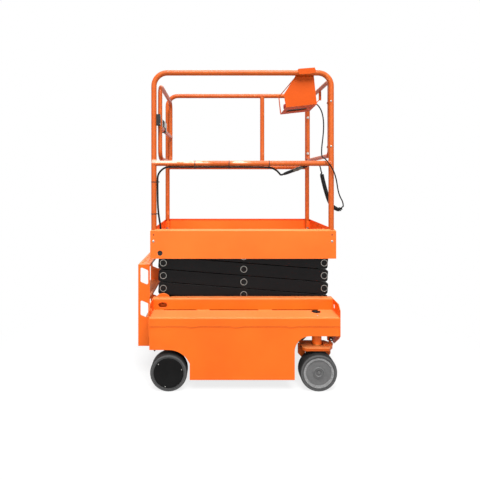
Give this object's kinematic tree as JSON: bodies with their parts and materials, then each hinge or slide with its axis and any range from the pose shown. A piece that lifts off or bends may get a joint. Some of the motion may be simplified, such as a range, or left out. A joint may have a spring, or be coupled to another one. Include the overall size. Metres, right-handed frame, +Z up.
{
  "type": "self-propelled scissor lift",
  "caption": "Small electric scissor lift: a wheeled orange chassis with a ladder, a black folding arm pack, and a railed work platform with a gate and a control guard.",
  "frame": {"origin": "middle of the footprint on the floor, under the box that holds the machine without its free lead", "axes": "+X towards the steered end, +Y to the machine's left, +Z up"},
  "size_m": [1.3336, 0.76, 2.0233],
  "materials": {
    "orange_paint": "satin powder coat",
    "battery_black": "moulded battery cases as one block",
    "motor_grey": "black enamel",
    "pin_steel": "turned steel",
    "arm_black": "satin black paint",
    "cylinder_black": "gloss black enamel",
    "rod_chrome": "hard chrome",
    "tyre_rubber": "solid grey-black rubber",
    "hub_cover": "flat black cover",
    "rim_grey": "moulded grey core",
    "deck_steel": "orange paint on patterned sheet",
    "box_black": "moulded plastic",
    "cable_black": "black rubber jacket",
    "connector_grey": "grey-brown moulded plastic"
  },
  "bodies": {
    "chassis": {"main_beam_right": "orange_paint", "main_beam_left": "orange_paint", "chassis_frame": "orange_paint", "base_pivot_shaft": "pin_steel", "side_shelf_right": "orange_paint", "side_shelf_left": "orange_paint", "side_cover_right": "orange_paint", "side_cover_left": "orange_paint", "battery_pack": "battery_black", "drive_motor_right": "motor_grey", "drive_motor_left": "motor_grey", "ladder_cheeks": "orange_paint", "ladder_treads": "deck_steel"},
    "wheel_rear_right": {"tyre_rear_right": "tyre_rubber", "hub_rear_right": "hub_cover"},
    "wheel_rear_left": {"tyre_rear_left": "tyre_rubber", "hub_rear_left": "hub_cover"},
    "wheel_front_right": {"tyre_front_right": "tyre_rubber", "hub_front_right": "rim_grey"},
    "wheel_front_left": {"tyre_front_left": "tyre_rubber", "hub_front_left": "rim_grey"},
    "steer_right": {"knuckle_right": "orange_paint"},
    "steer_left": {"knuckle_left": "orange_paint"},
    "tie_bar": {"tie_rod": "orange_paint"},
    "inner_stage_1": {"inner_arms_1": "arm_black"},
    "outer_stage_1": {"outer_arms_1": "arm_black", "pivot_shafts_1": "pin_steel", "lower_rollers": "pin_steel"},
    "inner_stage_2": {"inner_arms_2": "arm_black"},
    "outer_stage_2": {"outer_arms_2": "arm_black", "pivot_shafts_2": "pin_steel"},
    "inner_stage_3": {"inner_arms_3": "arm_black"},
    "outer_stage_3": {"outer_arms_3": "arm_black", "pivot_shafts_3": "pin_steel"},
    "inner_stage_4": {"inner_arms_4": "arm_black", "upper_rollers": "pin_steel"},
    "outer_stage_4": {"outer_arms_4": "arm_black", "pivot_shafts_4": "pin_steel"},
    "ram_barrel": {"cylinder_barrel": "cylinder_black"},
    "ram_rod": {"cylinder_rod": "rod_chrome"},
    "platform": {"platform_frame": "orange_paint", "roller_channel_right": "orange_paint", "roller_channel_left": "orange_paint", "platform_deck": "deck_steel", "toe_boards": "orange_paint", "guardrail_right": "orange_paint", "guardrail_left": "orange_paint", "front_guard": "orange_paint", "gate_hinges": "orange_paint", "gate_latch": "box_black", "control_guard": "orange_paint", "control_box": "box_black", "platform_cable": "cable_black", "cable_connector": "connector_grey", "control_lead_upper": "cable_black", "control_lead_curl": "cable_black", "control_lead_lower": "cable_black"},
    "gate": {"entry_gate": "orange_paint"}
  },
  "joints": [
    {"name": "lift", "type": "hinge", "parent": "chassis", "child": "inner_stage_1", "pos_m": [-0.482, 0, 0.5002], "axis": [0, -1, 0], "range_deg": [0, 47]},
    {"name": "cross_1", "type": "hinge", "parent": "inner_stage_1", "child": "outer_stage_1", "pos_m": [0.05827, 0, 0.54282], "axis": [0, 1, 0], "range_deg": [0, 94]},
    {"name": "stack_2", "type": "hinge", "parent": "outer_stage_1", "child": "inner_stage_2", "pos_m": [-0.482, 0, 0.58543], "axis": [0, -1, 0], "range_deg": [0, 94]},
    {"name": "cross_2", "type": "hinge", "parent": "inner_stage_2", "child": "outer_stage_2", "pos_m": [0.05827, 0, 0.62805], "axis": [0, 1, 0], "range_deg": [0, 94]},
    {"name": "stack_3", "type": "hinge", "parent": "outer_stage_2", "child": "inner_stage_3", "pos_m": [-0.482, 0, 0.67066], "axis": [0, -1, 0], "range_deg": [0, 94]},
    {"name": "cross_3", "type": "hinge", "parent": "inner_stage_3", "child": "outer_stage_3", "pos_m": [0.05827, 0, 0.71328], "axis": [0, 1, 0], "range_deg": [0, 94]},
    {"name": "stack_4", "type": "hinge", "parent": "outer_stage_3", "child": "inner_stage_4", "pos_m": [-0.482, 0, 0.75589], "axis": [0, -1, 0], "range_deg": [0, 94]},
    {"name": "cross_4", "type": "hinge", "parent": "inner_stage_4", "child": "outer_stage_4", "pos_m": [0.05827, 0, 0.79851], "axis": [0, 1, 0], "range_deg": [0, 94]},
    {"name": "platform_level", "type": "hinge", "parent": "outer_stage_4", "child": "platform", "pos_m": [-0.482, 0, 0.84112], "axis": [0, -1, 0], "range_deg": [0, 47]},
    {"name": "cylinder_swing", "type": "hinge", "parent": "inner_stage_1", "child": "ram_barrel", "pos_m": [0.08382, 0, 0.48665], "axis": [0, -1, 0], "range_deg": [-2, 0]},
    {"name": "cylinder_stroke", "type": "slide", "parent": "ram_barrel", "child": "ram_rod", "axis": [0.9395, 0, 0.3427], "range_m": [0, 0.146]},
    {"name": "steer_right", "type": "hinge", "parent": "chassis", "child": "steer_right", "pos_m": [0.516, -0.305, 0.3], "axis": [0, 0, 1], "range_deg": [-50, 50]},
    {"name": "steer_left", "type": "hinge", "parent": "chassis", "child": "steer_left", "pos_m": [0.516, 0.305, 0.3], "axis": [0, 0, 1], "range_deg": [-50, 50]},
    {"name": "tie_rod_swing", "type": "hinge", "parent": "steer_right", "child": "tie_bar", "pos_m": [0.601, -0.305, 0.302], "axis": [0, 0, 1], "range_deg": [-50, 50]},
    {"name": "wheel_rear_right_spin", "type": "hinge", "parent": "chassis", "child": "wheel_rear_right", "pos_m": [-0.421, -0.34, 0.115], "axis": [0, 1, 0], "continuous": true},
    {"name": "wheel_front_right_spin", "type": "hinge", "parent": "steer_right", "child": "wheel_front_right", "pos_m": [0.51, -0.34, 0.115], "axis": [0, 1, 0], "continuous": true},
    {"name": "wheel_rear_left_spin", "type": "hinge", "parent": "chassis", "child": "wheel_rear_left", "pos_m": [-0.421, 0.34, 0.115], "axis": [0, 1, 0], "continuous": true},
    {"name": "wheel_front_left_spin", "type": "hinge", "parent": "steer_left", "child": "wheel_front_left", "pos_m": [0.51, 0.34, 0.115], "axis": [0, 1, 0], "continuous": true},
    {"name": "gate_swing", "type": "hinge", "parent": "platform", "child": "gate", "pos_m": [-0.4915, 0.285, 1.69], "axis": [0, 0, 1], "range_deg": [0, 90]}
  ],
  "couplings": [
    {"joint": "cross_1", "follows": "lift", "ratio": 2},
    {"joint": "stack_2", "follows": "lift", "ratio": 2},
    {"joint": "cross_2", "follows": "lift", "ratio": 2},
    {"joint": "stack_3", "follows": "lift", "ratio": 2},
    {"joint": "cross_3", "follows": "lift", "ratio": 2},
    {"joint": "stack_4", "follows": "lift", "ratio": 2},
    {"joint": "cross_4", "follows": "lift", "ratio": 2},
    {"joint": "platform_level", "follows": "lift", "ratio": 1},
    {"joint": "cylinder_swing", "follows": "lift", "ratio": -0.033},
    {"joint": "cylinder_stroke", "follows": "lift", "m_per_rad": 0.177},
    {"joint": "steer_left", "follows": "steer_right", "ratio": 1},
    {"joint": "tie_rod_swing", "follows": "steer_right", "ratio": -1}
  ]
}
